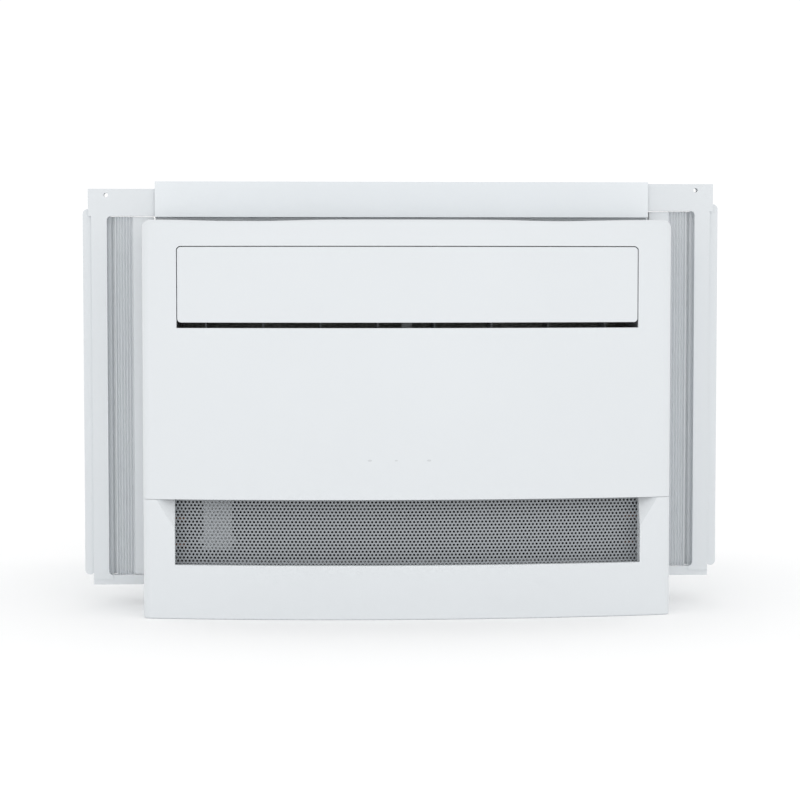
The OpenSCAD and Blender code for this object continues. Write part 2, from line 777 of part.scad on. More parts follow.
module compressor() {
    color("black") translate([comp_x, comp_y, 0]) difference() {
        union() {
            translate([0, 0, comp_low + 12]) cylinder(h = comp_top - comp_low - 34, r = comp_r);
            translate([0, 0, comp_top - 22]) rotate_extrude() dome();
            translate([0, 0, comp_low + 12]) mirror([0, 0, 1]) cylinder(h = 8, r1 = comp_r, r2 = comp_r - 10);
            for (a = [45 : 90 : 315])
                rotate([0, 0, a]) block([0, -9, comp_low - 4], [comp_bolt_r + 9, 9, comp_low - 1]);
            translate([0, 0, comp_low - 4]) cylinder(h = 10, r = comp_bolt_r - 13);
        }
        for (a = [45 : 90 : 315])
            translate([comp_bolt_r * cos(a), comp_bolt_r * sin(a), 0]) cylinder(h = comp_low, r = 5.6);
    }
}

// Half section of the compressor's domed top
module dome() {
    big = (comp_r * comp_r + 22 * 22) / 44;
    intersection() {
        translate([0, 22 - big]) circle(r = big);
        translate([0, -1]) square([comp_r, 30]);
    }
}

module compressor_grommets() {
    z = sheet_t;
    color("dimgray") comp_bolts_at() translate([0, 0, z]) difference() {
        union() {
            cylinder(h = comp_low - 4 - z, r = 8.5);
            cylinder(h = comp_low - 1 - z, r = 5.5);
        }
        translate([0, 0, -1]) cylinder(h = comp_low + 5, r = 3);
    }
}

module compressor_bolts() {
    color("silver") comp_bolts_at() union() {
        translate([0, 0, 0.2]) cylinder(h = comp_low + 1.8, r = 2.9);
        translate([0, 0, comp_low - 1]) cylinder(h = 4, r = 5.4, $fn = 6);
    }
}

module terminal_cover() {
    color("black") translate([comp_x, comp_y, comp_top + 0.2]) union() {
        cylinder(h = 14, r = 17);
        cylinder(h = 20, r = 3);
    }
}

module accumulator() {
    color("black") translate(accumulator) union() {
        cylinder(h = accumulator_h, r = 20);
        sphere(r = 20);
        translate([0, 0, accumulator_h]) sphere(r = 20);
        block([-6, -29.4, 50], [6, -15, 58]);
    }
}

module suction_pipe() {
    over = comp_top + 7;
    in_y = evap_y + evap_t / 2;
    in_z = evap_low + (evap_rows - 0.5) * evap_pitch;
    start = accumulator + [0, 0, accumulator_h + 20.2];
    down = [pipe_x - 2, bulkhead_y + 13, 120];
    through = [pipe_x - 42, bulkhead_y - 20, 120];
    color("peru") tube([
        start, [start[0], start[1], over], [down[0], start[1], over], [down[0], down[1], over], down,
        [through[0], down[1], 120], through,
        [pipe_x, through[1], 120], [pipe_x, through[1], in_z], [pipe_x, in_y, in_z],
        [evap_half + 9.3, in_y, in_z]
    ], 4.5);
}

module discharge_pipe() {
    high = comp_top + 34;
    out_z = cond_low + (cond_rows - 0.5) * cond_pitch;
    turn_y = comp_y + comp_r + 60;
    color("peru") tube([
        [comp_x - 30, comp_y, comp_top - 3], [comp_x - 30, comp_y, high], [comp_x - 30, turn_y, high],
        [pipe_x, turn_y, high], [pipe_x, turn_y, out_z], [pipe_x, cond_mid, out_z],
        [cond_half + 9.3, cond_mid, out_z]
    ], 4);
}

// Liquid line from the condenser through the filter drier and the capillary to the evaporator
module liquid_line() {
    drier_y = comp_y + comp_r + 50;
    z0 = cond_low + cond_pitch / 2;
    z1 = 54;
    in_y = evap_y + evap_t / 2;
    in_z = evap_low + evap_pitch / 2;
    side_y = bulkhead_y + 26;
    through = [pipe_x - 54, bulkhead_y - 30, z1];
    color("peru") union() {
        tube([
            [cond_half + 9.3, cond_mid, z0], [pipe_x, cond_mid, z0],
            [pipe_x, drier_y, z0], [pipe_x, drier_y, 62]
        ], 3);
        translate([pipe_x, drier_y, 60]) cylinder(h = 60, r = 8);
        tube([
            [pipe_x, drier_y, 119], [pipe_x, drier_y, 140], [pipe_x, side_y, 140], [pipe_x, side_y, z1],
            [pipe_x, bulkhead_y + 8, z1], [through[0], bulkhead_y + 8, z1], through,
            [pipe_x, through[1], z1], [pipe_x, in_y, z1], [pipe_x, in_y, in_z], [evap_half + 9.3, in_y, in_z]
        ], 1.6);
    }
}

module control_box() {
    y0 = bulkhead_y + 14;
    color("silver") difference() {
        block([inside_w - 166, y0, box_low], [inside_w - 14, y0 + 168, cabinet_h - 12]);
        block([inside_w - 164.8, y0 + 1.2, box_low + 1.2], [inside_w - 15.2, y0 + 166.8, cabinet_h]);
    }
}

module inverter_board() {
    x0 = inside_w - 160;
    y0 = bulkhead_y + 20;
    z = box_low + 6;
    color("darkgreen") union() {
        block([x0, y0, z], [x0 + 140, y0 + 150, z + 1.6]);
        block([x0 + 10, y0 + 12, z + 1], [x0 + 30, y0 + 136, z + 26]);
        for (y = [30, 65, 100]) translate([x0 + 112, y0 + y, z + 1]) cylinder(h = 35, r = 14);
        block([x0 + 45, y0 + 20, z + 1], [x0 + 82, y0 + 60, z + 23]);
    }
}

// Rubber gland where a supply cord leaves the right side of the cover
module cord_gland() {
    inner = gland[0] - cover_wall;
    color("black") difference() {
        union() {
            rod_x([inner - 3, gland[1], gland[2]], 3, gland_r + 3);
            rod_x([inner - 1, gland[1], gland[2]], cover_wall + 1, gland_r - 0.05);
        }
        rod_x([inner - 20, gland[1], gland[2]], 40, cord_r);
    }
}

module drain_plug() {
    color("black") translate(drain) union() {
        translate([0, 0, 0.2]) cylinder(h = sheet_t, r = drain_r - 0.05);
        translate([0, 0, sheet_t]) cylinder(h = 2.5, r = drain_r + 3);
    }
}

module cabinet_screws() {
    color("silver") for (s = [-1, 1], y = [60, body_d / 2, body_d - 36])
        translate([s * cabinet_w / 2, y, 24]) rotate([0, s * 90, 0]) pan_head();
}

module rail_screws() {
    color("silver") for (x = screw_xs) translate([x, rail_screw_y, cabinet_h + rail_t]) union() {
        pan_head();
        translate([0, 0, -6]) cylinder(h = 6.5, r = 1.9);
    }
}

module strip_screws() {
    color("silver") for (s = [-1, 1], z = strip_screw_zs)
        translate([s * (cabinet_w / 2 + 1.5), rail_screw_y, z]) rotate([0, s * 90, 0]) pan_head();
}

module pan_head() {
    difference() {
        cylinder(h = 2.2, r = 4);
        translate([-2.5, -0.4, 1.2]) cube([5, 0.8, 2]);
        translate([-0.4, -2.5, 1.2]) cube([0.8, 5, 2]);
    }
}

// Sheet clips that hold the top of the front cover to the cabinet
module cover_clips() {
    back = cover_back - 0.5;
    color("silver") for (x = [-0.38, -0.13, 0.13, 0.38] * rail_w) union() {
        block([x - 8, cabinet_front - 12, cabinet_h], [x + 8, back, cabinet_h + 1]);
        block([x - 8, cabinet_front - 12, cabinet_h], [x + 8, cabinet_front - 11, cabinet_h + 5]);
    }
}

at_sash() front_panel();
at_sash() lower_cover();
at_sash() outlet_flap();
at_sash() flap_motor();
at_sash() outlet_duct();
for (i = [0 : 7]) at_sash() vane(i);
at_sash() vane_link();
at_sash() vane_motor();
at_sash() intake_grille();
at_sash() filter_frame();
at_sash() filter_mesh();
at_sash() touch_board();
at_sash() room_sensor();
at_sash() base_pan();
at_sash() cabinet();
at_sash() rear_guard();
at_sash() top_rail();
at_sash() bottom_rail();
at_sash() mirror([1, 0, 0]) curtain_frame(left_foot_z);  // left_curtain_frame
at_sash() curtain_frame(right_foot_z);  // right_curtain_frame
at_sash() mirror([1, 0, 0]) pleats(left_foot_z);  // left_pleats
at_sash() pleats(right_foot_z);  // right_pleats
at_sash() mirror([1, 0, 0]) side_strip(left_foot_z);  // left_side_strip
at_sash() side_strip(right_foot_z);  // right_side_strip
at_sash() evaporator_fins();
at_sash() evaporator_tubes();
at_sash() drip_tray();
at_sash() blower_scroll();
at_sash() bulkhead();
at_sash() fan_motor();
at_sash() motor_bracket();
at_sash() motor_shaft();
at_sash() blower_wheel();
at_sash() condenser_fan();
at_sash() fan_shroud();
at_sash() condenser_fins();
at_sash() condenser_tubes();
at_sash() compressor();
at_sash() compressor_grommets();
at_sash() compressor_bolts();
at_sash() terminal_cover();
at_sash() accumulator();
at_sash() suction_pipe();
at_sash() discharge_pipe();
at_sash() liquid_line();
at_sash() control_box();
at_sash() inverter_board();
at_sash() cord_gland();
at_sash() drain_plug();
at_sash() cabinet_screws();
at_sash() rail_screws();
at_sash() strip_screws();
at_sash() cover_clips();
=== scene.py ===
# %% [markdown]
# # A window air conditioner
# This lesson dresses a finished CAD model for a studio picture. The CAD model holds the sizes, the moving
# parts and the places of everything, so nothing here is fitted by eye: each new piece reads its place from
# the frame. The front cover, the flap, the perforated grille and the pleated curtains get meshes of their
# own. The other CAD pieces keep their shapes, and get rounded edges or a better finish.

# %% Load the frame
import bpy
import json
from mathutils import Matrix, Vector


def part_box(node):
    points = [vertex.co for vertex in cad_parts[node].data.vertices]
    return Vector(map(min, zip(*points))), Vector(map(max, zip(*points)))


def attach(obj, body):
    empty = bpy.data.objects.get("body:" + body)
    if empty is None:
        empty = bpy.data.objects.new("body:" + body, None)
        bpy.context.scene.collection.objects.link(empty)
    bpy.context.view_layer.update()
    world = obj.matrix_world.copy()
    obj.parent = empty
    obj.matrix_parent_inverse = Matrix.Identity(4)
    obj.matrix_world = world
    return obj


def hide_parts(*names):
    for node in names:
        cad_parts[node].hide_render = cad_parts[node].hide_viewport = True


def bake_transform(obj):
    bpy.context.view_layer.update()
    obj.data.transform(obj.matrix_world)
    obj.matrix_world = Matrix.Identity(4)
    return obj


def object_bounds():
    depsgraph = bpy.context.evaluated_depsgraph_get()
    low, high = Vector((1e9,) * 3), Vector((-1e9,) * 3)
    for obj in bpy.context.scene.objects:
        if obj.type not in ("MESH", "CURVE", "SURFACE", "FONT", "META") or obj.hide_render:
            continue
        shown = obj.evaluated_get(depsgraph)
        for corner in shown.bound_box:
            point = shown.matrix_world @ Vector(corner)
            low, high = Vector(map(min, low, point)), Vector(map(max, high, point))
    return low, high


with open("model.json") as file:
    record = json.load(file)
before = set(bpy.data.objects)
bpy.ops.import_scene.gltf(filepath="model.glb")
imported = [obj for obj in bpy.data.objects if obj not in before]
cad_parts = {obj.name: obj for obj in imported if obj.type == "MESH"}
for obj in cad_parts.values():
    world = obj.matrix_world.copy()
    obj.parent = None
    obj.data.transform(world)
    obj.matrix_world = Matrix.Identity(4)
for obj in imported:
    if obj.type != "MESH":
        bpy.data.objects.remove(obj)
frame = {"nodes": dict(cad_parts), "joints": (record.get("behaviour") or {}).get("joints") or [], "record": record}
cad_low, cad_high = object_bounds()
print("CAD box from", tuple(cad_low), "to", tuple(cad_high))

# %% [markdown]
# ## Small helpers
# Blender works in metres here, so sizes are written in millimetres times MM. A new piece always needs the
# same three steps: a mesh from points and faces, an object that holds it, and the body that it moves with.

# %% Helpers for new pieces
import json
import math

import bmesh
import bpy
from mathutils import Vector, noise

MM = 0.001


def new_piece(name, points, faces, body, slot, *stands_for):
    """A mesh object that rides on a body, unless body is None, and stands for CAD nodes."""
    mesh = bpy.data.meshes.new(name)
    mesh.from_pydata(points, [], faces)
    mesh.validate()
    piece = bpy.data.objects.new(name, mesh)
    bpy.context.scene.collection.objects.link(piece)
    if body:
        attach(piece, body)
    if stands_for:
        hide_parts(*stands_for)
    return piece


def face_outwards(piece, outward):
    """Joins shared points, then turns every face so that the mesh's first side looks along outward."""
    sheet = bmesh.new()
    sheet.from_mesh(piece.data)
    bmesh.ops.remove_doubles(sheet, verts=sheet.verts, dist=0.02 * MM)
    bmesh.ops.recalc_face_normals(sheet, faces=sheet.faces)
    facing = sum(f.normal.dot(Vector(outward)) * f.calc_area() for f in sheet.faces)
    if facing < 0:
        bmesh.ops.reverse_faces(sheet, faces=sheet.faces)
    sheet.to_mesh(piece.data)
    sheet.free()
    return piece


def thicken(piece, thickness):
    """Gives an open sheet its wall, on the inner side."""
    wall = piece.modifiers.new("wall", "SOLIDIFY")
    wall.thickness = thickness
    wall.offset = -1
    wall.use_even_offset = True
    return piece


def round_edges(piece, width, steps=2, angle=35):
    """Rolls every sharp edge over a small radius and keeps the flat faces flat."""
    piece.data.shade_smooth()
    roll = piece.modifiers.new("rounded edges", "BEVEL")
    roll.width = width
    roll.segments = steps
    roll.limit_method = "ANGLE"
    roll.angle_limit = math.radians(angle)
    roll.use_clamp_overlap = True
    even = piece.modifiers.new("flat faces stay flat", "WEIGHTED_NORMAL")
    even.mode = "FACE_AREA"
    even.weight = 100
    return piece


def merge_copy(node):
    """A copy of a CAD node's mesh with its flat faces in one piece each, ready for rounding."""
    sheet = bmesh.new()
    sheet.from_mesh(frame["nodes"][node].data)
    bmesh.ops.remove_doubles(sheet, verts=sheet.verts, dist=0.005 * MM)
    bmesh.ops.dissolve_limit(sheet, angle_limit=math.radians(0.5), verts=sheet.verts, edges=sheet.edges)
    mesh = bpy.data.meshes.new(node + "_mesh")
    sheet.to_mesh(mesh)
    sheet.free()
    return mesh


# %% [markdown]
# ## The camera
# The camera comes first, because it decides which surfaces need the most care. A long lens a little over
# two metres away keeps the upright lines nearly parallel, as a catalogue picture has them. It stands just
# left of the middle and looks down by a few degrees. The two shifts slide the picture without turning it.

# %% Camera
VIEW_LEFT = math.radians(3.0)
VIEW_DOWN = math.radians(3.4)
DISTANCE = 2.2
AIM_BEHIND_FRONT = 24 * MM
AIM_ABOVE_SPLIT = 76.3 * MM
panel_low, panel_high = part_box("front_panel")
lower_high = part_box("lower_cover")[1]
look_at = Vector((0, panel_low.y + AIM_BEHIND_FRONT, lower_high.z + AIM_ABOVE_SPLIT))
ahead = Vector((math.sin(VIEW_LEFT) * math.cos(VIEW_DOWN), math.cos(VIEW_LEFT) * math.cos(VIEW_DOWN),
                -math.sin(VIEW_DOWN)))
camera = bpy.data.objects.new("camera", bpy.data.cameras.new("camera"))
bpy.context.scene.collection.objects.link(camera)
camera.location = look_at - DISTANCE * ahead
camera.rotation_euler = ahead.to_track_quat("-Z", "Y").to_euler()
camera.data.sensor_width = 36
camera.data.lens = 107.7
camera.data.shift_x = -0.0101
camera.data.shift_y = 0.019
bpy.context.scene.camera = camera
print("camera at", tuple(round(c, 3) for c in camera.location))

# %% [markdown]
# ## Shader arithmetic
# A material that looks real varies a little everywhere. To keep such maths readable, one small class wraps
# an output socket, so that plus, minus and times add Math nodes by themselves. Every other node comes from
# one method that takes the node's type, its settings and what goes into its sockets.

# %% A class for sockets and a class for finishes
class Wire:
    """One output socket of a node. Arithmetic on it adds Math nodes."""

    def __init__(self, finish, socket):
        self.finish, self.socket = finish, socket

    def maths(self, operation, first, second):
        return self.finish.node("ShaderNodeMath", {"operation": operation}, {0: first, 1: second})

    def __add__(self, other):
        return self.maths("ADD", self, other)

    def __sub__(self, other):
        return self.maths("SUBTRACT", self, other)

    def __rsub__(self, other):
        return self.maths("SUBTRACT", other, self)

    def __mul__(self, other):
        return self.maths("MULTIPLY", self, other)

    def __gt__(self, other):
        return self.maths("GREATER_THAN", self, other)

    __radd__ = __add__
    __rmul__ = __mul__


class Finish:
    """A material with one Principled shader. Settings that don't vary go straight to the shader."""

    def __init__(self, name, **constants):
        self.material = bpy.data.materials.new(name)
        self.material.use_nodes = True
        self.tree = self.material.node_tree
        self.shader = self.tree.nodes["Principled BSDF"]
        for socket, value in constants.items():
            self.shader.inputs[socket.replace("_", " ")].default_value = value
        self.place = self.node("ShaderNodeTexCoord", output="Object")

    def node(self, kind, settings=None, inputs=None, output=0):
        made = self.tree.nodes.new(kind)
        for key, value in (settings or {}).items():
            setattr(made, key, value)
        for key, value in (inputs or {}).items():
            if isinstance(value, Wire):
                self.tree.links.new(value.socket, made.inputs[key])
            else:
                made.inputs[key].default_value = value
        return Wire(self, made.outputs[output])

    def sine(self, angle):
        return self.node("ShaderNodeMath", {"operation": "SINE"}, {0: angle})

    def noise(self, scale, detail=2.0, place=None):
        return self.node("ShaderNodeTexNoise", None,
                         {"Vector": place or self.place, "Scale": scale, "Detail": detail})

    def stretch(self, x, y, z):
        """Object coordinates stretched along each axis."""
        return self.node("ShaderNodeVectorMath", {"operation": "MULTIPLY"}, {0: self.place, 1: (x, y, z)})

    def axis(self, name):
        return self.node("ShaderNodeSeparateXYZ", None, {0: self.place}, name)

    def mix(self, share, first, second):
        """Blends two colours, each a triple or a wire."""
        colours = [c if isinstance(c, Wire) else (*c, 1) for c in (first, second)]
        return self.node("ShaderNodeMix", {"data_type": "RGBA"},
                         {0: share, 6: colours[0], 7: colours[1]}, 2)

    def feed(self, socket, wire):
        self.tree.links.new(wire.socket, self.shader.inputs[socket])

    def bump(self, height, depth):
        """Raises the surface by height, where one unit of height is depth metres."""
        raised = self.node("ShaderNodeBump", None, {"Strength": 1.0, "Distance": depth, "Height": height})
        self.feed("Normal", raised)


# %% [markdown]
# ## Plastics
# The covers are moulded ABS in a cool white. A real moulding has a very fine spark-eroded grain, a slow
# drift in tone where the melt flowed, and a roughness that is never quite even. Three noises at three
# scales give these. The same recipe with other numbers makes the dark mouldings and the vinyl.

# %% Moulded plastics
def moulded(name, shade, drift, roughness, grain_size, grain_depth, **constants):
    """A moulded plastic: shade is its colour, drift how far the tone wanders."""
    finish = Finish(name, **constants)
    slow = finish.noise(7.0)
    darker = tuple(c * (1 - drift) for c in shade)
    specks = finish.noise(420.0, 1.0)
    tone = finish.mix(slow, darker, shade)
    finish.feed("Base Color", finish.mix(specks * drift, tone, darker))
    finish.feed("Roughness", roughness + (finish.noise(26.0, 4.0) - 0.5) * 0.14)
    finish.bump(finish.noise(1 / grain_size, 3.0), grain_depth)
    return finish


PANEL_WHITE = (0.683, 0.710, 0.731)
white_plastic = moulded("white_abs", PANEL_WHITE, 0.025, 0.42, 0.9 * MM, 0.012 * MM)
dark_plastic = moulded("black_moulding", (0.03, 0.032, 0.034), 0.2, 0.5, 0.7 * MM, 0.03 * MM)
duct_plastic = moulded("duct_moulding", (0.56, 0.58, 0.60), 0.15, 0.55, 0.8 * MM, 0.03 * MM)
pleat_vinyl = moulded("pleat_vinyl", (0.69, 0.715, 0.735), 0.05, 0.5, 0.6 * MM, 0.006 * MM)
rubber = moulded("rubber", (0.025, 0.025, 0.026), 0.3, 0.75, 0.5 * MM, 0.05 * MM)
print("plastics made:", [f.material.name for f in (white_plastic, dark_plastic, duct_plastic, pleat_vinyl)])

# %% [markdown]
# ## Painted and bare sheet metal
# The cabinet is steel with a white powder coat, which dries with a faint orange peel. Zinc-coated steel
# shows spangles, flat crystals a few millimetres across that each reflect differently: a Voronoi texture
# gives one random number for each crystal. Drawn copper and rolled aluminium have fine lines along the way
# that they were worked, so their noise is squeezed along one axis.

# %% Sheet metals
def coated(name, shade, roughness, peel):
    finish = Finish(name)
    slow = finish.noise(9.0)
    finish.feed("Base Color", finish.mix(slow, tuple(c * 0.96 for c in shade), shade))
    finish.feed("Roughness", roughness + (finish.noise(40.0) - 0.5) * 0.12)
    finish.bump(finish.noise(320.0, 2.0), peel)
    return finish


white_steel = coated("white_powder_coat", (0.750, 0.780, 0.803), 0.38, 0.05 * MM)
# The grille sheet's grey is partly the sheet's own tone and partly painted shade for the recess under the panel's
# overhang.
grey_sheet = coated("grey_sheet", (0.325, 0.345, 0.365), 0.46, 0.03 * MM)
black_steel = coated("black_enamel", (0.018, 0.018, 0.02), 0.28, 0.06 * MM)


def zinc_coated(name):
    finish = Finish(name, Metallic=1.0)
    crystal = finish.node("ShaderNodeTexVoronoi", None, {"Vector": finish.place, "Scale": 130.0}, "Color")
    share = finish.node("ShaderNodeSeparateColor", None, {0: crystal})
    finish.feed("Base Color", finish.mix(share, (0.46, 0.47, 0.49), (0.66, 0.67, 0.69)))
    finish.feed("Roughness", 0.34 + share * 0.22)
    finish.bump(share, 0.01 * MM)
    return finish


def drawn(name, shade, roughness, lines, depth=0.01 * MM):
    """Bare metal with fine lines: lines gives how often they repeat along each axis."""
    finish = Finish(name, Metallic=1.0)
    streaks = finish.noise(1.0, 3.0, finish.stretch(*lines))
    finish.feed("Base Color", finish.mix(streaks, tuple(c * 0.8 for c in shade), shade))
    finish.feed("Roughness", roughness + (streaks - 0.5) * 0.2)
    finish.bump(streaks, depth)
    return finish


galvanised = zinc_coated("zinc_coated_steel")
copper = drawn("drawn_copper", (0.46, 0.27, 0.19), 0.4, (90, 900, 900))
motor_steel = drawn("rolled_steel", (0.5, 0.51, 0.53), 0.35, (1500, 90, 1500))
screw_steel = drawn("zinc_plated", (0.68, 0.69, 0.71), 0.28, (1200, 1200, 300))


# %% [markdown]
# ## Fins, foam, board and net
# A heat exchanger is a pack of aluminium leaves 1.5 mm apart. The CAD block has coarse grooves, and a wave
# texture lays the fine leaves over them, with painted shade in the gaps between the leaves. Foam is made of
# steamed beads, with painted shade along the seams between them, the circuit board shows copper tracks under
# its green mask, and the filter is a woven net with painted shade in the gaps between its threads.

# %% The inner finishes
LEAF_PITCH = 1.5 * MM
THREAD_PITCH = 1.2 * MM


def finned(name):
    finish = Finish(name, Metallic=1.0)
    across = finish.axis("X") * (math.tau / LEAF_PITCH)
    leaf_lit_gap_shaded = finish.sine(across) * 0.5 + 0.5
    # The near-black colour between the leaves is painted shade in the gaps; the lighter colour is the aluminium
    # leaf itself.
    finish.feed("Base Color", finish.mix(leaf_lit_gap_shaded, (0.03, 0.031, 0.033), (0.24, 0.245, 0.26)))
    finish.feed("Roughness", 0.5 - leaf_lit_gap_shaded * 0.18)
    finish.bump(leaf_lit_gap_shaded, 0.4 * MM)
    return finish


def beaded(name):
    finish = Finish(name)
    bead_seam_shade = finish.node("ShaderNodeTexVoronoi", None, {"Vector": finish.place, "Scale": 320.0})
    # Colour darkens from each bead's middle to its seams: painted shade in the creases between the beads.
    finish.feed("Base Color", finish.mix(bead_seam_shade, (0.78, 0.78, 0.76), (0.62, 0.62, 0.6)))
    finish.feed("Roughness", 0.72 + bead_seam_shade * 0.15)
    finish.bump(1 - bead_seam_shade, 0.25 * MM)
    return finish


def printed_board(name):
    finish = Finish(name, Coat_Roughness=0.2)
    track = finish.node("ShaderNodeTexVoronoi", {"distance": "CHEBYCHEV", "feature": "F2"},
                        {"Vector": finish.place, "Scale": 240.0})
    lines = track > 0.62
    finish.feed("Base Color", finish.mix(lines, (0.012, 0.09, 0.03), (0.035, 0.2, 0.075)))
    finish.feed("Roughness", 0.42 - lines * 0.1)
    finish.bump(lines, 0.03 * MM)
    return finish


def woven_net(name):
    finish = Finish(name)
    turn = math.tau / THREAD_PITCH
    warp = finish.sine(finish.axis("X") * turn)
    weft = finish.sine(finish.axis("Z") * turn)
    thread_lit_gap_shaded = finish.node("ShaderNodeMath", {"operation": "MAXIMUM"}, {0: warp, 1: weft}) * 0.5 + 0.5
    # The near-black between the threads is painted shade for the open gaps of the weave; the grey is the thread.
    finish.feed("Base Color", finish.mix(thread_lit_gap_shaded, (0.03, 0.035, 0.04), (0.2, 0.23, 0.26)))
    finish.feed("Roughness", 0.6 + thread_lit_gap_shaded * 0.2)
    finish.bump(thread_lit_gap_shaded, 0.2 * MM)
    return finish


finishes = {
    "white_plastic": white_plastic, "white_steel": white_steel, "grey_sheet": grey_sheet,
    "pleat_vinyl": pleat_vinyl, "galvanised": galvanised, "dark_plastic": dark_plastic,
    "duct_plastic": duct_plastic, "foam": beaded("steamed_foam"), "aluminium_fins": finned("fin_pack"),
    "copper": copper, "black_steel": black_steel, "motor_steel": motor_steel, "rubber": rubber,
    "screw_steel": screw_steel, "board_green": printed_board("circuit_board"),
    "filter_net": woven_net("filter_net"),
}


def dress(piece, finish):
    piece.data.materials.clear()
    piece.data.materials.append(finish.material)
    return piece


# %% [markdown]
# ## The plan of the front cover
# Seen from above, the cover is an arc of a large circle that turns through a small corner radius into
# straight sides. Every row of points on the cover is this plan, moved inwards by some amount and set at
# some height, so one function gives them all.

# %% Plan of the cover
BOW = 22 * MM
CORNER = 8 * MM
COVER_WALL = 2.5 * MM
CORNER_STEPS = 6
half_cover = panel_high.x
cover_front, cover_back = panel_low.y, panel_high.y
bow_radius = (half_cover ** 2 + BOW ** 2) / (2 * BOW)
bow_centre = cover_front + bow_radius


def front_y(x, inset=0.0):
    """How far forward the bowed front is at x, moved inwards by inset."""
    return bow_centre - math.sqrt((bow_radius - inset) ** 2 - x * x)


def cover_plan(inset, columns, side_stops=(), side_inset=None):
    """Points from the left back edge round the front to the right back edge."""
    narrow = 1 if side_inset is None else (half_cover - side_inset) / (half_cover - inset)
    corner = CORNER - inset
    side = half_cover - inset
    big = bow_radius - inset
    corner_x = side - corner
    corner_y = bow_centre - math.sqrt((big - corner) ** 2 - corner_x ** 2)
    start = math.atan2(corner_y - bow_centre, corner_x)
    squeeze = (corner_x * big / (big - corner)) / columns[-1]
    arc = []
    for step in range(1, CORNER_STEPS + 1):
        angle = start * (1 - step / CORNER_STEPS)
        arc.append((corner_x + corner * math.cos(angle), corner_y + corner * math.sin(angle)))
    right = arc + [(side, y) for y in side_stops] + [(side, cover_back)]
    left = [(-x, y) for x, y in reversed(right)]
    middle = []
    for x in columns:
        at = x * squeeze if inset else x
        middle.append((at, front_y(at, inset)))
    return [(narrow * x, y) for x, y in left + middle + right]


def bow_columns(*stops):
    """Where the bowed part has its columns: about every 9 mm, and at each stop on both sides."""
    corner_x = half_cover - CORNER
    touch = corner_x * bow_radius / (bow_radius - CORNER)
    edges = sorted({0.0, touch, *stops})
    right = [0.0]
    for low, high in zip(edges, edges[1:]):
        parts = max(1, round((high - low) / (9 * MM)))
        right += [low + (high - low) * k / parts for k in range(1, parts + 1)]
    return [-x for x in reversed(right[1:])] + right


print("bow radius", round(bow_radius, 3), "m")

# %% [markdown]
# ## Front panel
# The upper cover is one open skin, which a Solidify modifier thickens inwards. The skin is a grid over the
# plan, with the outlet left out. The outlet's upper corners are rounded, so each has a cell with a quarter
# circle cut out of it. A thin moulding isn't perfectly straight: between its clips the top edge
# sags by a millimetre or two, which makes the dark line under the rail uneven.

# %% Front panel
OUTLET_SIDE = 31.5 * MM
OUTLET_TOP = 25 * MM
OUTLET_HEIGHT = 74.5 * MM
OUTLET_CORNER = 4 * MM
TOP_ROLL = 3.0 * MM
SIDE_ROLL = 7.5 * MM
SAG = 1.8 * MM
DIPS = ((-150 * MM, 52 * MM, 1.0), (138 * MM, 44 * MM, 0.8))     # middle, reach and share of the sag
outlet_half = half_cover - OUTLET_SIDE
outlet_high = panel_high.z - OUTLET_TOP
outlet_low = outlet_high - OUTLET_HEIGHT


class Skin:
    """Collects points and faces, and gives each place one point."""

    def __init__(self):
        self.points, self.faces, self.index = [], [], {}

    def at(self, point):
        key = tuple(round(c * 1e6) for c in point)
        if key not in self.index:
            self.index[key] = len(self.points)
            self.points.append(tuple(point))
        return self.index[key]

    def face(self, *corners):
        ids = [self.at(c) for c in corners]
        ids = [k for n, k in enumerate(ids) if k != ids[n - 1]]
        if len(ids) > 2:
            self.faces.append(ids)


def quarter(cx, cz, sx, sz, radius, steps=6):
    """Points on a quarter circle in the front, from its side end to its upright end."""
    turned = [math.pi / 2 * k / steps for k in range(steps + 1)]
    return [(cx + sx * radius * math.cos(t), cz + sz * radius * math.sin(t)) for t in turned]


def on_front(x, z, inset=0.0):
    return (x, front_y(x, inset), z)


def plate(skin, ring, z, back_rows=6):
    """Closes the cover with a flat wall from the ring of plan points back to the back edge."""
    edge = CORNER_STEPS + 1
    front_part = ring[edge:-edge]

    def line(x, y):
        return [(x, y + (cover_back - y) * k / back_rows, z) for k in range(back_rows + 1)]

    strips = [line(*p) for p in front_part]
    for one, other in zip(strips, strips[1:]):
        for k in range(back_rows):
            skin.face(one[k], other[k], other[k + 1], one[k + 1])
    for strip, rest in ((strips[0], ring[:edge][::-1]), (strips[-1], ring[-edge:])):
        skin.face(*strip[::-1], *[(x, y, z) for x, y in rest])


def rolled_rows(z, direction, roll, steps=4):
    """Rows of a rounded edge that ends at height z, as inset, height and side inset."""
    rows = []
    for k in range(steps + 1):
        angle = math.pi / 2 * k / steps
        inset = roll * (1 - math.cos(angle))
        rows.append((inset, z - direction * roll * (1 - math.sin(angle)), inset))
    return rows


def top_rows(top, steps=8):
    """The top edge: a tight roll along the front and a wider one along the sides."""
    rows = []
    for k in range(steps + 1):
        rise = SIDE_ROLL * math.sin(math.pi / 2 * k / steps)
        over = max(0.0, rise - SIDE_ROLL + TOP_ROLL)
        rows.append((TOP_ROLL - math.sqrt(max(0.0, TOP_ROLL ** 2 - over ** 2)), top - SIDE_ROLL + rise,
                     SIDE_ROLL - math.sqrt(max(0.0, SIDE_ROLL ** 2 - rise ** 2))))
    return rows


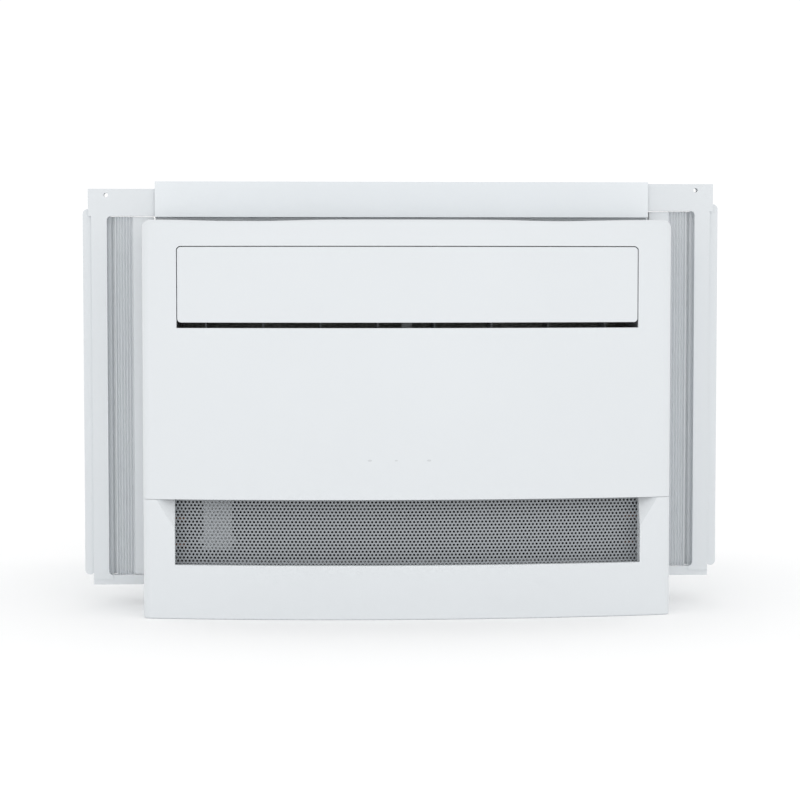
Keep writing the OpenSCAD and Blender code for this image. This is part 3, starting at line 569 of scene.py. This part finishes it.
def skin_rows(skin, rows, columns, drawn_cell, side_stops=()):
    """Joins rows of plan points. drawn_cell says, from a cell's middle, whether the cell is there."""
    rings = [cover_plan(inset, columns, side_stops, side_inset) for inset, z, side_inset in rows]
    heights = [z for inset, z, side_inset in rows]
    for ring, next_ring, z, next_z in zip(rings, rings[1:], heights, heights[1:]):
        for k in range(len(ring) - 1):
            (x0, y0), (x1, y1) = ring[k], ring[k + 1]
            (u0, v0), (u1, v1) = next_ring[k], next_ring[k + 1]
            if drawn_cell((x0 + x1) / 2, (y0 + y1) / 2, (z + next_z) / 2):
                skin.face((x0, y0, z), (x1, y1, z), (u1, v1, next_z), (u0, v0, next_z))
    return rings


def sagged(point):
    """Lets the top edge hang between its clips, most at the front."""
    x, y, z = point
    near_top = max(0.0, min(1.0, (z - outlet_high) / (panel_high.z - outlet_high)))
    front = 1 - max(0.0, min(1.0, (y - cover_front) / (cover_back - cover_front)))
    dips = sum(share * math.exp(-((x - middle) / reach) ** 2) for middle, reach, share in DIPS)
    return (x, y, z - SAG * near_top * front * (0.65 + dips))


def make_front_panel():
    inner = outlet_half - OUTLET_CORNER
    columns = bow_columns(outlet_half, inner)
    levels = [outlet_low, outlet_high - OUTLET_CORNER, outlet_high]
    rows = [(0, z, 0) for z in (panel_low.z, panel_low.z + 50 * MM, *levels)] + top_rows(panel_high.z)
    skin = Skin()

    def outside_outlet(x, y, z):
        return not (abs(x) < outlet_half and outlet_low < z < outlet_high and y < cover_front + 2 * BOW)

    rings = skin_rows(skin, rows, columns, outside_outlet)
    for sx in (-1, 1):
        bend = quarter(sx * inner, outlet_high - OUTLET_CORNER, sx, 1, OUTLET_CORNER)
        skin.face(on_front(sx * outlet_half, outlet_high), *[on_front(x, z) for x, z in bend])
    plate(skin, rings[-1], panel_high.z)
    skin.points = [sagged(p) for p in skin.points]
    piece = new_piece("front_panel_shell", skin.points, skin.faces, "unit", "white_plastic", "front_panel")
    face_outwards(piece, (0, -1, 0))
    return round_edges(thicken(piece, COVER_WALL), 0.5 * MM)


front_shell = dress(make_front_panel(), white_plastic)
print("front panel:", len(front_shell.data.polygons), "faces before thickening")

# %% [markdown]
# ## Touch marks
# The panel's touch keys show only as three small pale grey prints. Printed marks are real ink with an edge,
# so each is an oval face of its own, two hundredths of a millimetre in front of the bow.

# %% Touch marks
MARK_HEIGHT = 36 * MM
MARK_STRETCH = 2.2
INK = 0.02 * MM
MARKS = ((-36 * MM, 0.9 * MM), (-12 * MM, 0.7 * MM), (18 * MM, 0.9 * MM))


def make_touch_marks():
    skin = Skin()
    z0 = panel_low.z + MARK_HEIGHT
    for x0, radius in MARKS:
        rim = []
        for k in range(20):
            x = x0 + MARK_STRETCH * radius * math.cos(math.tau * k / 20)
            rim.append((x, front_y(x) - INK, z0 + radius * math.sin(math.tau * k / 20)))
        skin.face(*rim)
    piece = new_piece("touch_marks", skin.points, skin.faces, "unit", "white_plastic")
    face_outwards(piece, (0, -1, 0))
    return piece


mark_ink = moulded("mark_ink", (0.6, 0.62, 0.64), 0.1, 0.5, 0.5 * MM, 0.01 * MM)
dress(make_touch_marks(), mark_ink)

# %% [markdown]
# ## Lower cover
# The lower cover is the band under the recess, two upright cheeks beside it, the ledge that the grille
# stands behind, and two three-sided finger scoops at the recess's top corners. All are flat or singly
# curved, so they are faces between named heights. One Solidify then gives the whole moulding its wall.

# %% Lower cover
INTAKE_SIDE = 29 * MM
LEDGE_HEIGHT = 49.8 * MM
LEDGE_INNER = 48.5 * MM
RECESS_DEPTH = 18 * MM
SCOOP_WIDTH = 17 * MM
SCOOP_HEIGHT = 27 * MM
SCOOP_DEPTH = 0.6 * RECESS_DEPTH
BOTTOM_ROLL = 1.5 * MM
GLAND_HOLE = 8 * MM
NEAR = 0.001 * MM
intake_half = half_cover - INTAKE_SIDE
scoop_half = intake_half + SCOOP_WIDTH
scoop_low = panel_low.z - SCOOP_HEIGHT
gland_low, gland_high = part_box("cord_gland")
gland_y, gland_z = (gland_low.y + gland_high.y) / 2, (gland_low.z + gland_high.z) / 2
gland_room = GLAND_HOLE + 3 * MM


def gland_cell(skin):
    """The patch of the right side round the gland: four faces with a round hole in the middle."""
    x = half_cover
    square = [(gland_y - gland_room, gland_z - gland_room), (gland_y + gland_room, gland_z - gland_room),
              (gland_y + gland_room, gland_z + gland_room), (gland_y - gland_room, gland_z + gland_room)]
    for k in range(4):
        start = math.radians(225 + 90 * k)
        arc = [start + math.pi / 2 * n / 6 for n in range(7)]
        ring = [(x, gland_y + GLAND_HOLE * math.cos(a), gland_z + GLAND_HOLE * math.sin(a)) for a in arc]
        (y0, z0), (y1, z1) = square[k], square[(k + 1) % 4]
        skin.face((x, y0, z0), (x, y1, z1), *ring[::-1])


def make_lower_cover():
    columns = bow_columns(intake_half, scoop_half)
    side_stops = (gland_y - gland_room, gland_y + gland_room)
    levels = sorted([LEDGE_HEIGHT, scoop_low, lower_high.z, gland_z - gland_room, gland_z + gland_room])
    rows = rolled_rows(0, -1, BOTTOM_ROLL)[::-1] + [(0, z, 0) for z in levels]
    skin = Skin()

    def outside_recess(x, y, z):
        if y < cover_front + 2 * BOW:
            return abs(x) > (scoop_half if z > scoop_low else intake_half) or z < LEDGE_HEIGHT
        return not (x > 0 and abs(y - gland_y) < gland_room and abs(z - gland_z) < gland_room)

    skin_rows(skin, rows, columns, outside_recess, side_stops)
    gland_cell(skin)
    ledge = [x for x in columns if abs(x) <= intake_half + NEAR]
    for x0, x1 in zip(ledge, ledge[1:]):
        skin.face(on_front(x0, LEDGE_HEIGHT), on_front(x1, LEDGE_HEIGHT),
                  on_front(x1, LEDGE_INNER, RECESS_DEPTH), on_front(x0, LEDGE_INNER, RECESS_DEPTH))
    strip = [x for x in columns if intake_half - NEAR <= x <= scoop_half + NEAR]
    strip_levels = [z for z in levels if LEDGE_HEIGHT <= z <= scoop_low]
    for s in (-1, 1):
        inner = s * intake_half
        scoop_top = on_front(inner, lower_high.z, SCOOP_DEPTH)
        deep_top = on_front(inner, lower_high.z, RECESS_DEPTH)
        deep_low = on_front(inner, LEDGE_INNER, RECESS_DEPTH)
        skin.face(*[on_front(inner, z) for z in strip_levels], scoop_top, deep_top, deep_low)
        rise = (lower_high.z - scoop_low) / SCOOP_WIDTH
        slant = [on_front(s * x, scoop_low + (x - intake_half) * rise) for x in strip]
        skin.face(*slant, scoop_top)
        skin.face(*slant, *[on_front(s * x, scoop_low) for x in reversed(strip)][:-1])
    piece = new_piece("lower_cover_shell", skin.points, skin.faces, "unit", "white_plastic", "lower_cover")
    face_outwards(piece, (0, -1, 0))
    return round_edges(thicken(piece, COVER_WALL), 0.5 * MM)


dress(make_lower_cover(), white_plastic)

# %% [markdown]
# ## Outlet flap
# The flap is a bowed strip with rounded corners that hangs on four lugs. It closes the outlet with less
# than a millimetre of air round it and a wider slot below, where its lower edge swings in as it tips open.

# %% Outlet flap
FLAP_GAP = 0.75 * MM
FLAP_SLOT = 5 * MM
FLAP_CORNER = 3.5 * MM
FLAP_WALL = 2.5 * MM
LUG_PLACES = (-204.5 * MM, -9 * MM, 9 * MM, 204.5 * MM)
LUG_WIDTH = 2.5 * MM
LUG_RADIUS = 4 * MM
PIN_RADIUS = 2.5 * MM
PIN_CHAMFER = 0.3 * MM
PIN_SPANS = ((-217.5 * MM, -203.5 * MM), (-9 * MM, 9 * MM), (203.5 * MM, 217.5 * MM))
pivot = Vector(next(j for j in frame["joints"] if j["name"] == "flap_tilt")["pos_m"])
flap_half = outlet_half - FLAP_GAP
flap_low, flap_high = outlet_low + FLAP_SLOT, outlet_high - FLAP_GAP


def rounded_strip(skin, half, low, high, corner, columns, rows):
    """A bowed strip with round corners: a grid, and a quarter disc in each corner."""
    xs = sorted({-half, half, corner - half, half - corner, *[x for x in columns if abs(x) < half - corner]})
    zs = sorted({low, high, low + corner, high - corner, *rows})
    for x0, x1 in zip(xs, xs[1:]):
        for z0, z1 in zip(zs, zs[1:]):
            in_corner = abs(x0 + x1) / 2 > half - corner and not low + corner < (z0 + z1) / 2 < high - corner
            if not in_corner:
                skin.face(on_front(x0, z0), on_front(x1, z0), on_front(x1, z1), on_front(x0, z1))
    for sx in (-1, 1):
        for sz, edge in ((-1, low), (1, high)):
            cx, cz = sx * (half - corner), edge - sz * corner
            skin.face(on_front(cx, cz), *[on_front(x, z) for x, z in quarter(cx, cz, sx, sz, corner)])


def make_flap():
    skin = Skin()
    middle = [flap_low + (flap_high - flap_low) * k / 6 for k in range(1, 6)]
    rounded_strip(skin, flap_half, flap_low, flap_high, FLAP_CORNER, bow_columns(), middle)
    piece = new_piece("flap_blade", skin.points, skin.faces, "flap", "white_plastic", "outlet_flap")
    face_outwards(piece, (0, -1, 0))
    return round_edges(thicken(piece, FLAP_WALL), 0.45 * MM)


def make_flap_lugs():
    """Each lug is an outline with a round end about the pivot, as thick as LUG_WIDTH."""
    points, faces = [], []
    for x0 in LUG_PLACES:
        start = front_y(x0) + 0.6 * FLAP_WALL
        outline = [(start, pivot.z - LUG_RADIUS)]
        for k in range(13):
            angle = math.radians(-90 + 15 * k)
            outline.append((pivot.y + LUG_RADIUS * math.cos(angle), pivot.z + LUG_RADIUS * math.sin(angle)))
        outline.append((start, pivot.z + LUG_RADIUS))
        base, n = len(points), len(outline)
        for side in (-0.5, 0.5):
            points += [(x0 + side * LUG_WIDTH, y, z) for y, z in outline]
        faces.append(tuple(range(base, base + n)))
        faces.append(tuple(range(base + 2 * n - 1, base + n - 1, -1)))
        faces += [(base + k, base + n + k, base + n + (k + 1) % n, base + (k + 1) % n) for k in range(n)]
    return new_piece("flap_lugs", points, faces, "flap", "white_plastic")


def make_flap_pins():
    """Each pin is four rings of points: its two ends are a little narrower, as a chamfer leaves them."""
    points, faces = [], []
    for low, high in PIN_SPANS:
        base, n = len(points), 24
        for x, radius in ((low, PIN_RADIUS - PIN_CHAMFER), (low + PIN_CHAMFER, PIN_RADIUS),
                          (high - PIN_CHAMFER, PIN_RADIUS), (high, PIN_RADIUS - PIN_CHAMFER)):
            for k in range(n):
                angle = math.tau * k / n
                points.append((x, pivot.y + radius * math.cos(angle), pivot.z + radius * math.sin(angle)))
        for ring in range(3):
            for k in range(n):
                one, other = base + ring * n + k, base + ring * n + (k + 1) % n
                faces.append((one, other, other + n, one + n))
        faces.append(tuple(range(base + n - 1, base - 1, -1)))
        faces.append(tuple(range(base + 3 * n, base + 4 * n)))
    return new_piece("flap_pins", points, faces, "flap", "white_plastic")


for part in (make_flap(), round_edges(make_flap_lugs(), 0.3 * MM), make_flap_pins()):
    dress(part, white_plastic)

# %% [markdown]
# ## Perforated intake grille
# The grille is a steel sheet with round holes 3.5 mm apart in staggered rows. A picture of holes would look
# flat from the side, so the holes are real: each sits in a six-sided cell, and the cells fill the sheet
# without a gap. A dozen quads join the rim of the cell to the rim of the hole.

# %% Perforated grille
HOLE_PITCH = 3.5 * MM
HOLE_RADIUS = 1.12 * MM
SHEET = 0.9 * MM
SHEET_INSET = RECESS_DEPTH + 0.15 * MM
row_pitch = HOLE_PITCH * math.sqrt(3) / 2
cell_radius = HOLE_PITCH / math.sqrt(3)


def make_grille():
    columns = int(intake_half / HOLE_PITCH) + 1
    rows = int((lower_high.z - LEDGE_INNER) / row_pitch) + 2
    points, faces, found = [], [], {}

    def rim_point(x, z):
        key = (round(x * 1e6), round(z * 1e6))
        if key not in found:
            found[key] = len(points)
            points.append(on_front(x, z, SHEET_INSET))
        return found[key]

    for row in range(rows):
        z0 = LEDGE_INNER + row * row_pitch
        for column in range(-columns, columns + 1):
            x0 = (column + 0.5 * (row % 2)) * HOLE_PITCH
            rim, hole = [], []
            for k in range(12):
                angle = math.radians(30 * k)
                reach = cell_radius if k % 2 else cell_radius * math.cos(math.radians(30))
                rim.append(rim_point(x0 + reach * math.cos(angle), z0 + reach * math.sin(angle)))
                hole.append(len(points))
                points.append(on_front(x0 + HOLE_RADIUS * math.cos(angle), z0 + HOLE_RADIUS * math.sin(angle),
                                       SHEET_INSET))
            faces += [(rim[k], rim[(k + 1) % 12], hole[(k + 1) % 12], hole[k]) for k in range(12)]
    piece = new_piece("perforated_sheet", points, faces, "unit", "grey_sheet", "intake_grille")
    piece.data.shade_flat()
    if piece.data.polygons[0].normal.y > 0:
        piece.data.flip_normals()
    return thicken(piece, SHEET)


grille = dress(make_grille(), grey_sheet)
print("grille:", len(grille.data.polygons) // 12, "holes")

# %% [markdown]
# ## Curtain frames, rail and strips
# These CAD pieces already have the right shape, but a moulded frame never has a knife edge. Each gets a
# copy of its own mesh with the flat faces joined, and a Bevel modifier rolls the edges over half a
# millimetre or so. The rail's front flange gets a step as well: just above the cover, the sheet is folded
# back, so that the cover's uneven top edge doesn't rub on it. The fold is what shows as a dark line.

# %% Rounded copies of the moulded and folded pieces
ROUNDED = {
    "left_curtain_frame": ("left_curtain", 0.7 * MM), "right_curtain_frame": ("right_curtain", 0.7 * MM),
    "left_side_strip": ("unit", 0.4 * MM), "right_side_strip": ("unit", 0.4 * MM),
    "top_rail": ("unit", 0.4 * MM), "bottom_rail": ("unit", 0.3 * MM), "base_pan": ("unit", 0.3 * MM),
    "cabinet": ("unit", 0.35 * MM), "rear_guard": ("unit", 0.3 * MM),
}
FLANGE = 2 * MM
slot_of = {entry["node"]: entry["material_slot"] for entry in frame["record"]["subparts"]}
STEP_BACK = 12 * MM
step_low, step_high = panel_high.z + 3.2 * MM, panel_high.z + 3.8 * MM


def step_back(mesh):
    """Cuts the rail's front flange at two heights and sets the part below them back."""
    sheet = bmesh.new()
    sheet.from_mesh(mesh)
    for height in (step_low, step_high):
        bmesh.ops.bisect_plane(sheet, geom=sheet.verts[:] + sheet.edges[:] + sheet.faces[:],
                               plane_co=(0, 0, height), plane_no=(0, 0, 1))
    behind_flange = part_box("top_rail")[0].y + FLANGE
    moved = [v for v in sheet.verts if v.co.z < step_low + NEAR and v.co.y < behind_flange]
    for vert in moved:
        vert.co.y += STEP_BACK
    print("rail step: moved", len(moved), "of", len(sheet.verts), "points")
    sheet.to_mesh(mesh)
    sheet.free()


for node, (body, width) in ROUNDED.items():
    copied = bpy.data.objects.new(node + "_rounded", merge_copy(node))
    if node == "top_rail":
        step_back(copied.data)
    bpy.context.scene.collection.objects.link(copied)
    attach(copied, body)
    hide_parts(node)
    dress(round_edges(copied, width), finishes[slot_of[node]])
print("rounded:", ", ".join(ROUNDED))

# %% [markdown]
# ## Pleated curtains
# A curtain is one sheet of soft vinyl, folded like a bellows.

# %% Pleated curtains
PLEATS = 6
PLEAT_PITCH = 2.75 * MM
PLEAT_DEPTH = 2.4 * MM
FOLD_DEPTH = 7.5 * MM
VINYL = 0.5 * MM
TUCK = 0.8 * MM
SPREAD = 25.6 * MM
SWAY = 0.02 * MM


def pleat_outline(length):
    """Plan of the folded sheet from the unit outwards: distance, and depth behind its front."""
    tight = PLEATS * PLEAT_PITCH
    rest = length - tight
    outline = [(0.0, 0.5 * PLEAT_DEPTH)]
    for k in range(PLEATS):
        outline += [((k + 0.5) * PLEAT_PITCH, 0.0), ((k + 0.95) * PLEAT_PITCH, PLEAT_DEPTH)]
    outline += [(tight + 0.1 * rest, 0.0), (tight + 0.16 * rest, 0.0), (tight + 0.22 * rest, FOLD_DEPTH),
                (tight + 0.4 * rest, FOLD_DEPTH), (tight + 0.6 * rest, 0.5 * FOLD_DEPTH),
                (length, 0.75 * FOLD_DEPTH)]
    return outline


def make_pleats(side, sign):
    strip_low, strip_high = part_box(side + "_side_strip")
    pleat_low, pleat_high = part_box(side + "_pleats")
    start = (strip_high.x if sign > 0 else -strip_low.x) - TUCK
    end = start + SPREAD
    outline = pleat_outline(end - start)
    front = pleat_low.y + 0.3 * MM
    levels = [pleat_low.z + (pleat_high.z - pleat_low.z) * k / 24 for k in range(25)]
    points, faces = [], []
    for row, z in enumerate(levels):
        for n, (along, depth) in enumerate(outline):
            sway = noise.noise(Vector((n * 1.7, z * 4.0, sign * 3.0))) * SWAY
            x = start + along + (sway if 0 < n < len(outline) - 1 else 0.0)
            points.append((sign * x, front + depth, z))
    width = len(outline)
    for row in range(len(levels) - 1):
        for n in range(width - 1):
            a = row * width + n
            faces.append((a, a + 1, a + 1 + width, a + width))
    piece = new_piece(side + "_bellows", points, faces, None, "pleat_vinyl", side + "_pleats")
    face_outwards(piece, (0, -1, 0))
    thicken(piece, VINYL)
    round_edges(piece, 0.18 * MM, 2, 30)
    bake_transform(piece)
    return piece


for side, sign in (("left", -1), ("right", 1)):
    bellows = dress(make_pleats(side, sign), pleat_vinyl)
    print(side, "bellows:", len(bellows.data.polygons), "faces")

# %% [markdown]
# ## Finishes for the CAD pieces
# The pieces inside keep their CAD shapes. Each takes the finish of its material slot.

# %% Dress the remaining nodes
for name, node in frame["nodes"].items():
    finish = finishes[slot_of[name]].material
    if node.material_slots:
        for material_slot in node.material_slots:
            material_slot.material = finish
    else:
        node.data.materials.append(finish)
print(len(frame["nodes"]), "nodes dressed")

# %% [markdown]
# ## Floor, world and lights
# A catalogue picture of a white product has almost no shadow: light comes from everywhere, and the floor
# is as bright as the wall. A white world does most of that here. One wide soft lamp behind the camera makes
# the front a little brighter than the sides, so that the edges can still be read, and a weak one hangs
# overhead. The floor is flat and large, so that the unit can be looked at from behind as well.

# %% Stage
FLOOR_HALF = 9.0
corners = [(x * FLOOR_HALF, y * FLOOR_HALF, 0) for x, y in ((-1, -1), (1, -1), (1, 1), (-1, 1))]
mesh = bpy.data.meshes.new("studio_floor")
mesh.from_pydata(corners, [], [(0, 1, 2, 3)])
floor = bpy.data.objects.new("studio_floor", mesh)
bpy.context.scene.collection.objects.link(floor)

paper = Finish("studio_paper", Roughness=0.9)
paper.feed("Base Color", paper.mix(paper.noise(2.0), (0.965, 0.965, 0.965), (0.975, 0.975, 0.975)))
dress(floor, paper)

world = bpy.data.worlds.new("studio")
world.use_nodes = True
sky = world.node_tree.nodes["Background"]
sky.inputs["Color"].default_value = (1.0, 1.0, 1.0, 1)
sky.inputs["Strength"].default_value = 1.05
bpy.context.scene.world = world
bpy.context.scene.view_settings.view_transform = "Standard"


def soft_lamp(name, place, target, size, power):
    lamp = bpy.data.lights.new(name, "AREA")
    lamp.shape = "RECTANGLE"
    lamp.size, lamp.size_y = size
    lamp.energy = power
    lamp_object = bpy.data.objects.new(name, lamp)
    bpy.context.scene.collection.objects.link(lamp_object)
    lamp_object.location = place
    lamp_object.rotation_euler = (Vector(target) - Vector(place)).to_track_quat("-Z", "Y").to_euler()


middle_of_unit = (cad_low + cad_high) / 2
soft_lamp("front_softbox", (0.0, -2.8, 0.3), middle_of_unit, (2.6, 0.9), 10)
soft_lamp("top_softbox", (0.2, 0.6, 2.6), middle_of_unit, (3.0, 2.0), 3)
